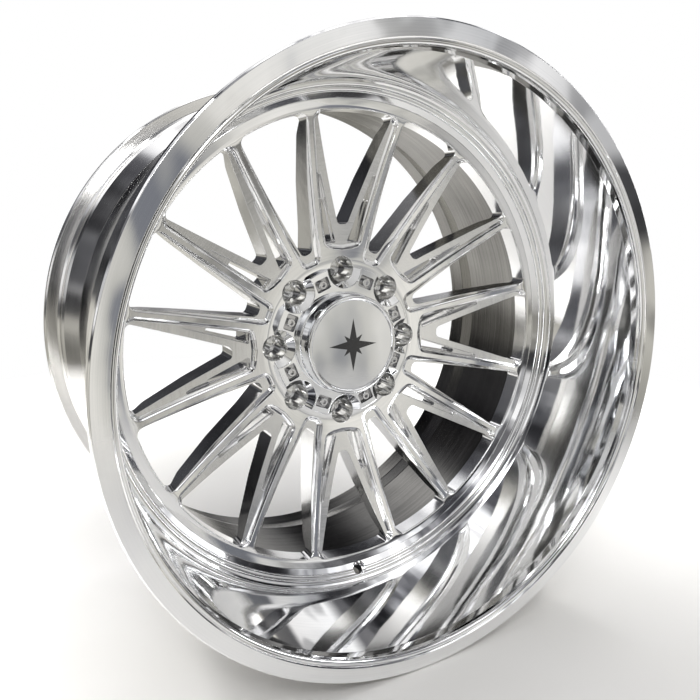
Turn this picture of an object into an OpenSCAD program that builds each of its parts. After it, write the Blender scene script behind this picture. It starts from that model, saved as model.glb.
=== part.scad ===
// Forged deep-lip wheel rim, eight bolt, welded from three forgings.
// The axle runs along Y, the face looks toward -Y and Z is up.
// The origin is the centre of the hub mounting face.

/* [Rim] */
// Nominal rim diameter in inches
rim_diameter = 24; // [20:1:28]
// Nominal rim width between the flanges in inches
rim_width = 14; // [10:0.5:16]
// Wheel offset, centre line to mounting face, in mm
wheel_offset = -76; // [-100:1:0]
// Height of a flange over the bead seat
flange_height = 17.5; // [14:0.5:20]
// Thickness of a flange across the rim
flange_thickness = 12.7; // [9:0.1:15]
// Width of a bead seat
seat_width = 22; // [18:1:28]
// Wall of the barrel at the well
barrel_wall = 7; // [5:0.5:10]
// Drop of the well under the bead seat
well_drop = 14.2; // [10:0.1:24]

/* [Lip] */
// Depth of the face ring behind the front edge
lip_depth = 161.6; // [60:0.2:200]
// Width of the stepped shoulder round the face
shoulder_width = 17; // [12:0.5:24]
// Height of the stepped shoulder
shoulder_height = 15.6; // [10:0.2:20]

/* [Face] */
// Width of the flat ring round the windows
ring_width = 11.6; // [8:0.1:18]
// Thickness of the ring behind its face
ring_thickness = 22; // [16:0.5:30]
// Dish of the face from the ring down to the hub
hub_drop = 39.4; // [10:0.2:60]
// Radius of the flat hub face
hub_face_radius = 100; // [96:1:104]
// Recess of the plates beside the ridges
pocket_depth = 4.7; // [2:0.1:7]
// Width of one step in the recess edge
pocket_step = 2.4; // [1:0.1:3]
// Half angle between a pair of ridges, lug window
lug_window_angle = 12.2; // [11:0.1:13]
// Half angle of the screw window at the ring
screw_window_angle = 9.36; // [8:0.02:9.4]
// Depth of the blind pocket past the end of a slot
slot_pocket_depth = 7; // [3:0.5:10]
// Ledge left round a slot at the depth of its pocket
slot_ledge = 0.8; // [0.4:0.1:2]

/* [Hub] */
// Number of wheel bolts
lug_count = 8; // [8:1:8]
// Bolt circle diameter
lug_circle = 180; // [165.1:0.1:180]
// Through hole for a wheel stud
lug_hole = 16; // [14:0.1:17]
// Counterbore that takes the nut
lug_counterbore = 31; // [28:0.5:32]
// Floor of the counterbore over the mounting face
lug_floor = 24; // [18:0.5:30]
// Large diameter of the conical nut seat
lug_seat = 27; // [22:0.5:28]
// Hub pilot bore diameter
hub_bore = 124.1; // [106:0.1:125]
// Depth of the pilot bore from the mounting face
pilot_depth = 38; // [20:1:50]
// Radius of the front bore that takes the cap
front_bore = 58; // [50:0.5:61]
// Radius of the mounting pad
pad_radius = 109.5; // [105:0.5:112]

/* [Cap] */
// Radius of the lobed cap base
cap_base_radius = 93; // [90:0.5:95]
// Thickness of the lobed cap base
cap_base_height = 8; // [6:0.5:10]
// Radius of the cap barrel
cap_radius = 60.3; // [56:0.1:62]
// Height of the cap over the hub face
cap_height = 31; // [20:0.5:40]
// Radius of the circle of cap screws
cap_screw_radius = 78.3; // [76:0.1:80]
// Width of a cap screw pocket
cap_pocket_width = 19; // [15:0.5:22]
// Radial length of a cap screw pocket
cap_pocket_length = 14.5; // [12:0.5:16]
// Depth of a cap screw pocket
cap_pocket_depth = 4.6; // [3:0.1:6]

/* [Valve] */
// Valve hole diameter
valve_hole = 11.3; // [8:0.1:16]
// Diameter of the spot face round the valve hole
valve_spot = 16; // [15:0.5:20]
// Tilt of the valve hole from the axle
valve_tilt = 42; // [30:1:60]

/* [Show] */
// Piece to show

/* [Hidden] */
$fn = 180;

seat_radius = (rim_diameter * 25.4 + 4.8) / 2;
flange_radius = seat_radius + flange_height;
overall_width = rim_width * 25.4 + 2 * flange_thickness;
front_z = overall_width / 2 - wheel_offset;
rear_z = front_z - overall_width;
front_bead_z = front_z - flange_thickness;
rear_bead_z = rear_z + flange_thickness;

ring_z = front_z - lip_depth;
ring_back_z = ring_z - ring_thickness;
hub_z = ring_z - hub_drop;
seam_z = ring_back_z - 8.5;
well_radius = seat_radius - well_drop;
bore_radius = well_radius - barrel_wall;
lip_radius = seat_radius - 9.2;
shoulder_radius = lip_radius - shoulder_width;
window_radius = shoulder_radius - ring_width;
well_rear_z = rear_z + 81;

// Spherical dish of the face through the ring edge and the hub edge
dish_rise = ((pow(window_radius, 2) - pow(hub_face_radius, 2)) / hub_drop
             + hub_drop) / 2;
dish_radius = sqrt(pow(dish_rise, 2) + pow(hub_face_radius, 2));
dish_z = hub_z + dish_rise;

bolt_step = 360 / lug_count;
fit = 0.1;

function polar(r, a) = [r * cos(a), r * sin(a)];

function arc(r, a, n) = [for (i = [0 : n]) polar(r, a - 2 * a * i / n)];

// Stands a wheel drawn round Z on its tread, face toward -Y
module on_axle() {
  rotate([90, 0, 0]) children();
}

module around(start) {
  for (i = [0 : lug_count - 1])
    rotate([0, 0, start + i * bolt_step]) children();
}

module rounded(r) {
  offset(r = r, $fn = 24) offset(delta = -r) children();
}

// ---- barrel ----

module outer_barrel() {
  color([0.86, 0.87, 0.88])
  on_axle()
  difference() {
    rotate_extrude() {
      difference() {
        polygon([
          [bore_radius, seam_z],
          [bore_radius + 1.5, seam_z],
          [well_radius, seam_z + 4],
          [well_radius, ring_back_z + 1],
          [seat_radius - 1.2, ring_back_z + 34],
          [seat_radius - 1.2, front_bead_z - seat_width - 10],
          [seat_radius + 0.9, front_bead_z - seat_width - 6.5],
          [seat_radius + 0.9, front_bead_z - seat_width - 4],
          [seat_radius - 1.9, front_bead_z - seat_width],
          [seat_radius, front_bead_z - 3],
          [seat_radius + 3, front_bead_z],
          [flange_radius - 2, front_bead_z],
          [flange_radius, front_bead_z + 2],
          [flange_radius, front_z - 1.5],
          [flange_radius - 1.5, front_z],
          [seat_radius + 0.8, front_z],
          [seat_radius - 0.4, front_z - 1.2],
          [seat_radius - 2.4, front_z - 4.2],
          [seat_radius - 5.8, front_z - 8],
          [seat_radius - 6.4, front_z - 14],
          [lip_radius + 0.6, ring_z + shoulder_height + 6],
          [lip_radius, ring_z + shoulder_height],
          [lip_radius - 1.8, ring_z + shoulder_height - 4],
          [lip_radius - 6.4, ring_z + 6.6],
          [lip_radius - 10.8, ring_z + 3.6],
          [shoulder_radius + 3, ring_z + 2.6],
          [shoulder_radius + fit, ring_z + 0.6],
          [shoulder_radius + fit, ring_z - 1.5],
          [bore_radius, ring_z - 1.5]
        ]);
        translate([lip_radius - 6.4, ring_z + 7]) circle(r = 0.9);
        translate([lip_radius - 10.8, ring_z + 4]) circle(r = 0.9);
      }
      translate([lip_radius - 4, ring_z + 8.6]) circle(r = 2.1);
      translate([lip_radius - 8.6, ring_z + 4.9]) circle(r = 1.9);
      translate([seat_radius - 3.6, front_z - 5.8]) circle(r = 1.5);
    }
    valve_cut();
  }
}

// Inclined valve hole with its spot face, at the foot of the wheel
module valve_cut() {
  translate([0, -(shoulder_radius + 7), ring_z + 4.6])
    rotate([-valve_tilt, 0, 0]) {
      translate([0, 0, -60]) cylinder(d = valve_hole, h = 90);
      translate([0, 0, -1.5]) cylinder(d = valve_spot, h = 30);
    }
}

module inner_barrel() {
  color([0.78, 0.79, 0.8])
  on_axle()
  rotate_extrude()
    polygon([
      [bore_radius, seam_z],
      [bore_radius, well_rear_z + 2],
      [seat_radius - 8.2, rear_bead_z + seat_width + 10],
      [seat_radius - 7.8, rear_bead_z + 3],
      [seat_radius + 0.5, rear_bead_z - 6],
      [seat_radius + 3.5, rear_z + 1.2],
      [seat_radius + 5, rear_z],
      [flange_radius - 2, rear_z],
      [flange_radius, rear_z + 2],
      [flange_radius, rear_bead_z - 2],
      [flange_radius - 2, rear_bead_z],
      [seat_radius + 3, rear_bead_z],
      [seat_radius, rear_bead_z + 3],
      [seat_radius - 1.9, rear_bead_z + seat_width],
      [seat_radius + 0.9, rear_bead_z + seat_width + 4],
      [seat_radius + 0.9, rear_bead_z + seat_width + 6.5],
      [seat_radius - 1.7, rear_bead_z + seat_width + 10],
      [well_radius, well_rear_z],
      [well_radius, seam_z - 4],
      [bore_radius + 1.5, seam_z]
    ]);
}

// Butt weld that closes the joint of the two barrel halves
module seam_weld() {
  color([0.7, 0.71, 0.72])
  on_axle()
  rotate_extrude()
    polygon([
      [bore_radius + 1.5, seam_z],
      [well_radius, seam_z + 4],
      [well_radius + 0.9, seam_z + 2.2],
      [well_radius + 1.2, seam_z],
      [well_radius + 0.9, seam_z - 2.2],
      [well_radius, seam_z - 4]
    ]);
}

// Fillet weld behind the face ring
module center_weld() {
  color([0.7, 0.71, 0.72])
  on_axle()
  rotate_extrude()
    polygon([
      [bore_radius - 7, ring_back_z],
      [bore_radius, ring_back_z],
      [bore_radius, ring_back_z - 7],
      [bore_radius - 2.4, ring_back_z - 5.4],
      [bore_radius - 5.4, ring_back_z - 2.4]
    ]);
}

// ---- forged center ----

module center_blank() {
  rotate_extrude()
    difference() {
      polygon([
        [hub_bore / 2, 0],
        [pad_radius - 1.5, 0],
        [pad_radius, 1.5],
        [pad_radius, 14],
        [pad_radius + 10, hub_z - 44],
        [pad_radius + 36, hub_z - 33],
        [pad_radius + 90, hub_z - 18],
        [window_radius - 19, ring_back_z - 13.5],
        [window_radius - 5, ring_back_z],
        [bore_radius - fit, ring_back_z],
        [bore_radius - fit, ring_z - 1.5 - fit],
        [shoulder_radius, ring_z - 1.5 - fit],
        [shoulder_radius, ring_z - 0.6],
        [shoulder_radius - 0.6, ring_z],
        [hub_face_radius, ring_z],
        [hub_face_radius, hub_z],
        [front_bore + 1, hub_z],
        [front_bore, hub_z - 1],
        [front_bore, pilot_depth],
        [hub_bore / 2, pilot_depth]
      ]);
      translate([0, dish_z]) circle(r = dish_radius, $fn = 720);
    }
}

// Window outlines, drawn pointing along +X
module lug_recess_2d() {
  polygon(concat(
    [polar(119.7, -lug_window_angle), [113.8, -13], [112.5, 0], [113.8, 13],
     polar(119.7, lug_window_angle)],
    arc(window_radius - 1.2, lug_window_angle, 6)));
}

module screw_recess_2d() {
  polygon(concat(
    [[hub_face_radius + 0.5, -12.6], [hub_face_radius + 0.5, 12.6]],
    arc(window_radius - 1.2, screw_window_angle, 5)));
}

module lug_window_2d() {
  polygon(concat(
    [[143.5, -6.3], [143.5, 6.3]],
    arc(window_radius, lug_window_angle - 1.8, 5)));
}

module screw_window_2d() {
  polygon(concat(
    [[116.7, -6.8], [116.7, 6.8]],
    arc(window_radius, screw_window_angle - 0.38, 5)));
}

// Slot beside a ridge; its far end lies at the given station
module slot_2d(station) {
  polygon([
    [121.5, 7.6],
    [121.5, 21.8],
    [station - 1, 21.8 + (station - 122.5) * 0.211],
    [station, 7.6 + (station - 121.5) * 0.343]
  ]);
}

// Recess cut to a constant depth under the dish
module sunk(depth) {
  intersection() {
    linear_extrude(height = ring_z + 20) children();
    translate([0, 0, dish_z]) sphere(r = dish_radius + depth, $fn = 720);
  }
}

module recess_cuts() {
  sunk(pocket_depth / 2) {
    around(0) rounded(7) lug_recess_2d();
    around(bolt_step / 2) rounded(8) screw_recess_2d();
  }
  sunk(pocket_depth) {
    around(0) offset(delta = -pocket_step) rounded(7) lug_recess_2d();
    around(bolt_step / 2)
      offset(delta = -pocket_step) rounded(8) screw_recess_2d();
  }
}

module window_cuts() {
  translate([0, 0, -5])
    linear_extrude(height = ring_z + 20) {
      around(0) rounded(6) lug_window_2d();
      around(bolt_step / 2) rounded(6.5) screw_window_2d();
    }
}

module slot_cuts() {
  translate([0, 0, -5])
    linear_extrude(height = ring_z + 20)
      around(0)
        offset(delta = -slot_ledge) {
          rounded(3) slot_2d(175);
          mirror([0, 1]) rounded(3) slot_2d(175);
        }
  sunk(pocket_depth + slot_pocket_depth)
    around(0) {
      rounded(1.6) slot_2d(202);
      mirror([0, 1]) rounded(1.6) slot_2d(202);
    }
}

module lug_cut() {
  translate([lug_circle / 2, 0, 0]) {
    translate([0, 0, -1]) cylinder(d = lug_hole, h = lug_floor);
    translate([0, 0, lug_floor - (lug_seat - lug_hole) / 2 / tan(30)])
      cylinder(d1 = lug_hole, d2 = lug_seat,
               h = (lug_seat - lug_hole) / 2 / tan(30));
    translate([0, 0, lug_floor]) cylinder(d = lug_counterbore, h = hub_z);
  }
}

module forged_center() {
  color([0.83, 0.84, 0.85])
  on_axle()
  difference() {
    center_blank();
    recess_cuts();
    window_cuts();
    slot_cuts();
    around(0) lug_cut();
    around(bolt_step / 2)
      translate([cap_screw_radius, 0, hub_z - 18])
        cylinder(d = 7.3, h = 20);
  }
}

// ---- cap ----

module cap_body() {
  color([0.8, 0.81, 0.83])
  on_axle()
  difference() {
    rotate_extrude()
      polygon([
        [cap_radius - 10, hub_z - 9],
        [front_bore - 0.8, hub_z - 9],
        [front_bore - fit, hub_z - 8],
        [front_bore - fit, hub_z - 6.9],
        [front_bore - 3, hub_z - 6.9],
        [front_bore - 3, hub_z - 3.7],
        [front_bore - fit, hub_z - 3.7],
        [front_bore - fit, hub_z],
        [cap_base_radius, hub_z],
        [cap_base_radius, hub_z + cap_base_height - 0.8],
        [cap_base_radius - 0.8, hub_z + cap_base_height],
        [cap_radius + 4.5, hub_z + cap_base_height],
        [cap_radius + 1.6, hub_z + cap_base_height + 1.4],
        [cap_radius + 0.8, hub_z + cap_base_height + 4],
        [cap_radius, hub_z + cap_height - 8.5],
        [cap_radius - 5.5, hub_z + cap_height - 8.5],
        [cap_radius - 5.5, hub_z + cap_height - 5],
        [0, hub_z + cap_height - 5],
        [0, hub_z + cap_height - 10],
        [cap_radius - 12, hub_z + cap_height - 10],
        [cap_radius - 10, hub_z + cap_height - 12]
      ]);
    around(0)
      translate([lug_circle / 2, 0, hub_z - 1])
        cylinder(r1 = 15, r2 = 24.5, h = cap_base_height + 2);
    around(bolt_step / 2)
      translate([cap_screw_radius, 0, hub_z]) {
        translate([0, 0, cap_base_height - cap_pocket_depth])
          linear_extrude(height = cap_pocket_depth + 4)
            rounded(2) square([cap_pocket_length, cap_pocket_width],
                              center = true);
        translate([0, 0, -1]) cylinder(d = 6.6, h = cap_base_height);
      }
  }
}

module cap_bezel() {
  color([0.82, 0.83, 0.85])
  on_axle()
  translate([0, 0, hub_z + cap_height - 8.5])
  rotate_extrude() {
    translate([cap_radius - 5.4, 0]) square([5.6, 6]);
    translate([cap_radius - 2.6, 5.6]) circle(r = 2.9);
  }
}

module emblem_2d() {
  for (i = [0 : 3])
    rotate([0, 0, i * 90])
      polygon([[0, 0], [5.5, 5.5], [33, 0], [5.5, -5.5]]);
  for (i = [0 : 3])
    rotate([0, 0, 45 + i * 90])
      polygon([[7, 3.2], [18, 0], [7, -3.2], [4, 0]]);
}

module cap_face_plate() {
  color([0.87, 0.88, 0.89])
  on_axle()
  translate([0, 0, hub_z + cap_height - 5])
  difference() {
    cylinder(r = cap_radius - 5.6, h = 2.8);
    translate([0, 0, 2]) linear_extrude(height = 2) emblem_2d();
  }
}

module cap_emblem() {
  color([0.03, 0.03, 0.035])
  on_axle()
  translate([0, 0, hub_z + cap_height - 3])
  linear_extrude(height = 0.9) offset(delta = -0.08) emblem_2d();
}

module cap_o_ring() {
  color([0.04, 0.04, 0.04])
  on_axle()
  translate([0, 0, hub_z - 5.3])
  rotate_extrude()
    translate([front_bore - 1.5, 0]) circle(r = 1.4, $fn = 48);
}

module cap_screws() {
  color([0.6, 0.61, 0.63])
  on_axle()
  around(bolt_step / 2)
    translate([cap_screw_radius, 0,
               hub_z + cap_base_height - cap_pocket_depth])
    difference() {
      union() {
        translate([0, 0, -19]) cylinder(d = 6, h = 20);
        cylinder(d = 10, h = 5.2);
        translate([0, 0, 5.2]) cylinder(d1 = 10, d2 = 8.8, h = 0.8);
      }
      translate([0, 0, 3]) cylinder(d = 5.8, h = 5, $fn = 6);
    }
}

module thread_inserts() {
  color([0.55, 0.56, 0.58])
  on_axle()
  around(bolt_step / 2)
    translate([cap_screw_radius, 0, hub_z - 17])
    difference() {
      cylinder(d = 7.2, h = 15);
      translate([0, 0, -1]) cylinder(d = 6.1, h = 17);
    }
}

outer_barrel();
inner_barrel();
forged_center();
center_weld();
seam_weld();
cap_body();
cap_bezel();
cap_face_plate();
cap_emblem();
cap_o_ring();
cap_screws();
thread_inserts();
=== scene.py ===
import math

import bpy
import numpy as np
from mathutils import Matrix, Vector
from mathutils.geometry import delaunay_2d_cdt


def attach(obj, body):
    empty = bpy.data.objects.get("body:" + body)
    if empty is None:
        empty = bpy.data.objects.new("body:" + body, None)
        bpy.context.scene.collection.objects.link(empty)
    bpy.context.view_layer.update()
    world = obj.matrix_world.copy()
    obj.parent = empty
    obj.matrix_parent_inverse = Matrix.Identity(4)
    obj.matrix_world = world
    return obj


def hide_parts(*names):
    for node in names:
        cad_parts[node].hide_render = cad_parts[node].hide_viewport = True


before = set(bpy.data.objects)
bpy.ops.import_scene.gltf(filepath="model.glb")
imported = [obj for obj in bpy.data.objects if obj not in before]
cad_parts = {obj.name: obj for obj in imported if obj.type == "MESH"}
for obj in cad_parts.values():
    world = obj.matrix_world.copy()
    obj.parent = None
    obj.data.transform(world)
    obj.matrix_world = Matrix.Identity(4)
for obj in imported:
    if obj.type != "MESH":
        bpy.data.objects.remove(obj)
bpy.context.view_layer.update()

# Wheel dimensions in mm. Local frame: z runs out along the axle from the
# mounting face, x across, y up. Row frame = (x, -z, y).
SEAT, FLANGE = 307.2, 324.7
FRONT, REAR = 266.5, -114.5
RING, RING_BACK, HUB, SEAM = 104.9, 82.9, 65.5, 74.4
WELL, BORE, LIP, SHOULDER, WINDOW = 293.0, 286.0, 298.0, 281.0, 269.4
FRONT_BEAD, REAR_BEAD = FRONT - 12.7, REAR + 12.7
HUB_FACE, DROP = 100.0, 39.4
RISE = ((WINDOW ** 2 - HUB_FACE ** 2) / DROP + DROP) / 2
DISH_R, DISH_Z = math.hypot(RISE, HUB_FACE), HUB + RISE
LUG_CIRCLE, LUG_R, SCREW_CIRCLE, SCREW_R, VALVE_R = 90.0, 16, 78.3, 3.65, 5.65
SEG = 512


# ---- mesh building ----

def unit(v):
    v = np.asarray(v, float)
    return v / np.maximum(np.linalg.norm(v, axis=-1, keepdims=True), 1e-12)


class Shell:
    """Faces with their own corner normals, gathered into one mesh."""

    def __init__(self):
        self.parts = []

    def add(self, points, normals, mat=0):
        """points and normals: (faces, corners, 3)."""
        p, n = np.array(points, float), np.array(normals, float)
        if not len(p):
            return
        if p.shape[1] == 4:
            flat = np.cross(p[:, 2] - p[:, 0], p[:, 3] - p[:, 1])
        else:
            flat = np.cross(p[:, 1] - p[:, 0], p[:, 2] - p[:, 0])
        back = (flat * n.mean(1)).sum(1) < 0
        p[back] = p[back][:, ::-1]
        n[back] = n[back][:, ::-1]
        self.parts.append((p, n, np.full(len(p), mat)))

    def band(self, pa, pb, na, nb, mat=0, closed=True):
        """Quads between two rows of points."""
        pa, pb, na, nb = (np.asarray(q, float) for q in (pa, pb, na, nb))
        i = np.arange(len(pa) if closed else len(pa) - 1)
        j = (i + 1) % len(pa)
        self.add(np.stack([pa[i], pa[j], pb[j], pb[i]], 1),
                 np.stack([na[i], na[j], nb[j], nb[i]], 1), mat)

    def spin(self, copies, first=0):
        """Repeats the parts from number first on, turned round the axle."""
        made = []
        for k in range(1, copies):
            t = 2 * math.pi * k / copies
            m = np.array([[math.cos(t), -math.sin(t), 0],
                          [math.sin(t), math.cos(t), 0], [0, 0, 1]])
            made += [(p @ m.T, n @ m.T, c) for p, n, c in self.parts[first:]]
        self.parts += made

    def mesh(self, name):
        corners, normals, sizes, mats = [], [], [], []
        for p, n, c in self.parts:
            corners.append(p.reshape(-1, 3))
            normals.append(n.reshape(-1, 3))
            sizes.append(np.full(len(p), p.shape[1]))
            mats.append(c)
        corners, normals = np.vstack(corners), unit(np.vstack(normals))
        sizes, mats = np.concatenate(sizes), np.concatenate(mats)
        key = np.round(corners, 4) + 0.0
        _, first, index = np.unique(key, axis=0, return_index=True,
                                    return_inverse=True)
        index = index.reshape(-1)
        verts = corners[first]
        starts = np.concatenate([[0], np.cumsum(sizes)[:-1]])
        faces, kept, face_mats = [], [], []
        index_list = index.tolist()
        for s, k, m in zip(starts.tolist(), sizes.tolist(), mats.tolist()):
            loop = [(index_list[s + i], s + i) for i in range(k)]
            loop = [q for i, q in enumerate(loop) if q[0] != loop[i - 1][0]]
            if len({q[0] for q in loop}) < 3 or len({q[0] for q in loop}) < len(loop):
                continue
            faces.append([q[0] for q in loop])
            kept += [q[1] for q in loop]
            face_mats.append(m)
        row = np.stack([verts[:, 0], -verts[:, 2], verts[:, 1]], 1) * 0.001
        mesh = bpy.data.meshes.new(name)
        mesh.from_pydata(row.tolist(), [], faces)
        mesh.polygons.foreach_set("material_index", np.array(face_mats, np.int32))
        mesh.polygons.foreach_set("use_smooth", np.ones(len(faces), bool))
        n = normals[kept]
        n = np.stack([n[:, 0], -n[:, 2], n[:, 1]], 1)
        mesh.normals_split_custom_set(n.tolist())
        mesh.update()
        return mesh

    def piece(self, name, materials, slot, *nodes):
        return place(self.mesh(name), name, materials, slot, *nodes)


def place(mesh, name, materials, slot, *nodes):
    for m in materials:
        mesh.materials.append(m)
    obj = bpy.data.objects.new(name, mesh)
    bpy.context.scene.collection.objects.link(obj)
    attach(obj, "root")
    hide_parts(*nodes)
    return obj


# ---- turned profiles ----

def profile(items, side=1):
    """A turned outline in (radius, z) as runs (p, q, normal at p, normal at q).

    An item is (r, z), (r, z, fillet radius) or an array of points that
    make one smooth curve. side 1 puts the metal on the left of the way.
    """
    closed = items[-1] == "close"
    items = items[:-1] if closed else items
    pts = [np.array(i[:2], float) if not isinstance(i, np.ndarray) else i
           for i in items]
    ends = [(p, p) if p.ndim == 1 else (p[0], p[-1]) for p in pts]
    nodes = []
    count = len(items)
    for k, item in enumerate(items):
        if isinstance(item, np.ndarray):
            t = np.gradient(item, axis=0)
            t[0], t[-1] = item[1] - item[0], item[-1] - item[-2]
            for j, p in enumerate(item):
                n = unit([t[j][1], -t[j][0]]) * side
                nodes.append([p, None if j == 0 else n,
                              None if j == len(item) - 1 else n])
            continue
        p, radius = pts[k], (item[2] if len(item) > 2 else 0)
        inner = closed or 0 < k < count - 1
        if not inner or radius <= 0:
            nodes.append([p, None, None])
            continue
        a, b = ends[k - 1][1], ends[(k + 1) % count][0]
        u, v = unit(p - a), unit(b - p)
        turn = math.atan2(u[0] * v[1] - u[1] * v[0], float(u @ v))
        if abs(turn) < 1e-3:
            nodes.append([p, None, None])
            continue
        reach = abs(radius * math.tan(turn / 2))
        limit = 0.48 * min(np.linalg.norm(p - a), np.linalg.norm(b - p))
        if reach > limit:
            radius *= limit / reach
            reach = limit
        s = math.copysign(1, turn)
        centre = p - u * reach + np.array([-u[1], u[0]]) * radius * s
        steps = max(2, math.ceil(abs(math.degrees(turn)) / 9))
        for j in range(steps + 1):
            a_j = turn * j / steps
            d = np.array([u[0] * math.cos(a_j) - u[1] * math.sin(a_j),
                          u[0] * math.sin(a_j) + u[1] * math.cos(a_j)])
            right = np.array([d[1], -d[0]])
            nodes.append([centre + right * radius * s, right * side, right * side])
    runs = []
    for i in range(len(nodes) if closed else len(nodes) - 1):
        p, _, n0 = nodes[i]
        q, n1, _ = nodes[(i + 1) % len(nodes)]
        if np.linalg.norm(q - p) < 1e-6:
            continue
        d = unit(q - p)
        own = np.array([d[1], -d[0]]) * side
        n0 = own if n0 is None else n0
        n1 = own if n1 is None else n1
        runs.append((p, q, n0, n1))
    return runs


def turn(shell, runs, mat=0, seg=SEG, ripple=None):
    """Spins a profile round the axle. mat may be a function of (r, z, normal)."""
    t = 2 * np.pi * np.arange(seg) / seg
    c, s = np.cos(t), np.sin(t)

    def row(p):
        r = np.full(seg, p[0]) if ripple is None else p[0] + ripple(p, t)[0]
        z = np.full(seg, p[1]) if ripple is None else p[1] + ripple(p, t)[1]
        return np.stack([r * c, r * s, z], 1)

    def aim(n):
        return np.stack([n[0] * c, n[0] * s, np.full(seg, n[1])], 1)

    for p, q, n0, n1 in runs:
        m = mat(*(p + q) / 2, (n0 + n1) / 2) if callable(mat) else mat
        shell.band(row(p), row(q), aim(n0), aim(n1), m)


# ---- plan outlines ----

def polar(r, a):
    return [r * math.cos(math.radians(a)), r * math.sin(math.radians(a))]


def arc(r, half, n=24):
    return [polar(r, -half + 2 * half * i / n) for i in range(n + 1)]


class Outline:
    """A convex outline, corners counter-clockwise, rounded to a radius.

    Any parallel curve is centre + (radius - inset) * normal, point for point.
    """

    def __init__(self, corners, radius, step=3.0):
        p = np.array(corners, float)
        e = np.roll(p, -1, 0) - p
        m = unit(np.stack([-e[:, 1], e[:, 0]], 1))
        poly = list(p)
        for base, inward in zip(p, m):
            out = []
            h = [float((q - base) @ inward) - radius for q in poly]
            for i in range(len(poly)):
                j = (i + 1) % len(poly)
                if h[i] >= 0:
                    out.append(poly[i])
                if (h[i] >= 0) != (h[j] >= 0):
                    w = h[i] / (h[i] - h[j])
                    out.append(poly[i] + (poly[j] - poly[i]) * w)
            poly = out
        poly = [q for i, q in enumerate(poly)
                if np.linalg.norm(q - poly[i - 1]) > 1e-4]
        centre, normal = [], []
        n = len(poly)
        for i in range(n):
            a, b, c = poly[i - 1], poly[i], poly[(i + 1) % n]
            u, v = unit(b - a), unit(c - b)
            t0 = math.atan2(-u[0], u[1])
            turn_by = math.atan2(u[0] * v[1] - u[1] * v[0], float(u @ v))
            steps = 0 if turn_by < 0.06 else math.ceil(math.degrees(turn_by) / 8)
            for j in range(steps + 1):
                t = t0 + turn_by * (j / steps if steps else 0.5)
                centre.append(b)
                normal.append([math.cos(t), math.sin(t)])
            parts = max(1, round(np.linalg.norm(c - b) / step))
            for j in range(1, parts):
                centre.append(b + (c - b) * j / parts)
                normal.append([v[1], -v[0]])
        self.c, self.n, self.r = np.array(centre), np.array(normal), radius

    def at(self, inset):
        return self.c + (self.r - np.asarray(inset).reshape(-1, 1)) * self.n

    def mirrored(self):
        other = object.__new__(Outline)
        other.c, other.n = self.c[::-1] * [1, -1], self.n[::-1] * [1, -1]
        other.r = self.r
        return other


def inside(points, poly):
    x, y = points[:, 0][:, None], points[:, 1][:, None]
    a, b = poly, np.roll(poly, -1, 0)
    cross = (a[:, 1] > y) != (b[:, 1] > y)
    rise = np.where(np.abs(b[:, 1] - a[:, 1]) < 1e-12, 1e-12, b[:, 1] - a[:, 1])
    at = a[:, 0] + (y - a[:, 1]) / rise * (b[:, 0] - a[:, 0])
    return (cross & (x < at)).sum(1) % 2 == 1


def distance(points, poly):
    a, b = poly, np.roll(poly, -1, 0)
    best = np.full(len(points), 1e9)
    for p, q in zip(a, b):
        d = q - p
        t = np.clip(((points - p) @ d) / max(d @ d, 1e-12), 0, 1)
        gap = np.linalg.norm(points - p - t[:, None] * d, axis=1)
        best = np.minimum(best, gap)
    return best


def reach(start, way, poly):
    """Distance along way from each start to a closed outline."""
    a, b = poly[None], np.roll(poly, -1, 0)[None]
    s, w = start[:, None], way[:, None]
    d = b - a
    det = w[..., 0] * d[..., 1] - w[..., 1] * d[..., 0]
    det = np.where(np.abs(det) < 1e-12, 1e-12, det)
    g = a - s
    t = (g[..., 0] * d[..., 1] - g[..., 1] * d[..., 0]) / det
    v = (g[..., 0] * w[..., 1] - g[..., 1] * w[..., 0]) / det
    t = np.where((v >= -1e-9) & (v <= 1 + 1e-9) & (t > 0), t, 1e9)
    return t.min(1)


def fill(outer, holes, extra=None):
    """Triangles between an outline and its holes: points and indices."""
    loops = [outer] + list(holes)
    pts, edges = [], []
    for loop in loops:
        k = len(pts)
        pts += [Vector(p) for p in loop.tolist()]
        edges += [(k + i, k + (i + 1) % len(loop)) for i in range(len(loop))]
    if extra is not None and len(extra):
        pts += [Vector(p) for p in extra.tolist()]
    out = delaunay_2d_cdt(pts, edges, [], 0, 1e-7)
    source = np.vstack(loops + ([extra] if extra is not None and len(extra) else []))
    xy = np.array([source[o[0]] if o else tuple(v)
                   for v, o in zip(out[0], out[3])], float)
    tri = np.array(out[2], int)
    mid = xy[tri].mean(1)
    keep = inside(mid, outer)
    for h in holes:
        keep &= ~inside(mid, h)
    a, b = xy[tri[:, 1]] - xy[tri[:, 0]], xy[tri[:, 2]] - xy[tri[:, 0]]
    keep &= np.abs(a[:, 0] * b[:, 1] - a[:, 1] * b[:, 0]) > 1e-5
    return xy, tri[keep]


def turned(points, degrees):
    c, s = math.cos(math.radians(degrees)), math.sin(math.radians(degrees))
    return points @ np.array([[c, s], [-s, c]])


def circle(r, n, centre=(0, 0)):
    t = 2 * np.pi * np.arange(n) / n
    return np.stack([centre[0] + r * np.cos(t), centre[1] + r * np.sin(t)], 1)


def scatter(rings, outer, holes, gap):
    """Points on rings that stand clear of every outline."""
    pts = np.vstack([circle(r, n) for r, n in rings])
    keep = inside(pts, outer) & (distance(pts, outer) > gap)
    for h in holes:
        keep &= ~inside(pts, h) & (distance(pts, h) > gap)
    return pts[keep]


# ---- surface heights ----

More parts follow.
